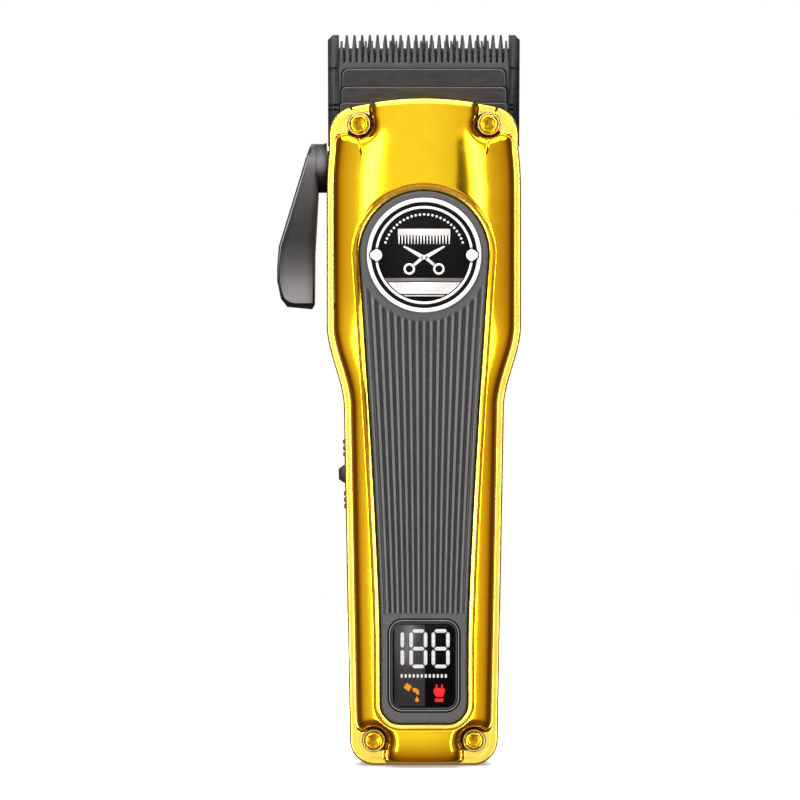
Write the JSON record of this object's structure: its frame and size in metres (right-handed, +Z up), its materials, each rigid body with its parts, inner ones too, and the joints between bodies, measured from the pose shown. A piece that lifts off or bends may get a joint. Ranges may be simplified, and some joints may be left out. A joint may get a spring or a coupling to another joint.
{
  "type": "hair clipper",
  "caption": "Cordless hair clipper with a waisted two-shell housing, ribbed grip panel, charge display, side taper lever and a wide tilted blade set.",
  "frame": {"origin": "on the flat underside of the rear housing, on the centre plane, level with the shells' depth datum", "axes": "+Z up along the clipper to its blade, -Y out of the front with the display, +X to the right seen from the front"},
  "size_m": [0.0583, 0.0334, 0.1746],
  "materials": {
    "gold_plate": "polished",
    "grip": "fine-grained moulded grip",
    "black_plastic": "satin black",
    "badge_black": "gloss black with light line art",
    "badge_silver": "bright rim",
    "white_plastic": "gloss white",
    "display_glass": "dark tinted display window",
    "display_lit": "display module with lit segments",
    "blade_steel": "dark coated steel, satin",
    "lever_metal": "dark satin metal",
    "steel": "satin",
    "brass": "satin",
    "board": "solder mask",
    "cell_wrap": "heat-shrink wrap over the cell's can",
    "frame_plastic": "satin",
    "yoke_plastic": "satin",
    "rubber": "matt",
    "wire_red": "satin",
    "copper": "windings and laminations",
    "cast": "as cast",
    "magnet": "sintered"
  },
  "bodies": {
    "housing": {"front_cover": "gold_plate", "rear_housing": "gold_plate", "cover_screw_top_left": "gold_plate", "cover_screw_top_right": "gold_plate", "cover_screw_bottom_left": "gold_plate", "cover_screw_bottom_right": "gold_plate", "grip_panel": "grip", "badge_ring": "badge_silver", "badge_plate": "badge_black", "badge_pin_left": "white_plastic", "badge_pin_right": "white_plastic", "display_bezel": "black_plastic", "display_lens": "display_glass", "display_module": "display_lit", "circuit_board": "board", "control_chip": "black_plastic", "battery_cell": "cell_wrap", "battery_cradle": "frame_plastic", "battery_tab_positive": "steel", "battery_tab_negative": "steel", "charge_socket": "steel", "port_gasket": "rubber", "charge_board": "board", "motor_can": "steel", "motor_magnet_left": "magnet", "motor_magnet_right": "magnet", "motor_end_cap": "black_plastic", "motor_bearing": "brass", "motor_screw_left": "steel", "motor_screw_right": "steel", "motor_lead_red": "wire_red", "motor_lead_black": "rubber", "head_frame": "cast", "tension_spring": "steel", "spring_screw": "steel", "lever_bush": "brass", "lever_washer": "steel", "switch_body": "black_plastic"},
    "blade_carrier": {"blade_carrier": "steel", "fixed_blade": "blade_steel", "blade_screw_left": "steel", "blade_screw_right": "steel"},
    "cutter": {"cutter_blade": "blade_steel", "cutter_yoke": "yoke_plastic", "yoke_screw_left": "steel", "yoke_screw_right": "steel"},
    "motor_rotor": {"motor_shaft": "steel", "motor_armature": "copper", "drive_crank": "steel", "crank_roller": "brass"},
    "taper_lever": {"lever_arm": "lever_metal", "lever_shaft": "steel", "lever_screw": "steel"},
    "power_switch": {"switch_knob": "grip", "switch_actuator": "black_plastic"}
  },
  "joints": [
    {"name": "taper_lever_hinge", "type": "hinge", "parent": "housing", "child": "taper_lever", "pos_m": [-0.0232, 0.0006, 0.1429], "axis": [1, 0, 0], "range_deg": [0, 45]},
    {"name": "blade_carrier_slide", "type": "slide", "parent": "housing", "child": "blade_carrier", "axis": [0, -0.2079, 0.9781], "range_m": [0, 0.0015]},
    {"name": "cutter_stroke", "type": "slide", "parent": "housing", "child": "cutter", "axis": [1, 0, 0], "range_m": [-0.0013, 0.0013]},
    {"name": "motor_spin", "type": "hinge", "parent": "housing", "child": "motor_rotor", "pos_m": [0, 0.001, 0.1], "axis": [0, 0, 1], "continuous": true},
    {"name": "power_switch_slide", "type": "slide", "parent": "housing", "child": "power_switch", "axis": [-0.0182, 0, 0.9998], "range_m": [0, 0.003]}
  ],
  "couplings": [
    {"joint": "blade_carrier_slide", "follows": "taper_lever_hinge", "m_per_rad": 0.00191}
  ]
}
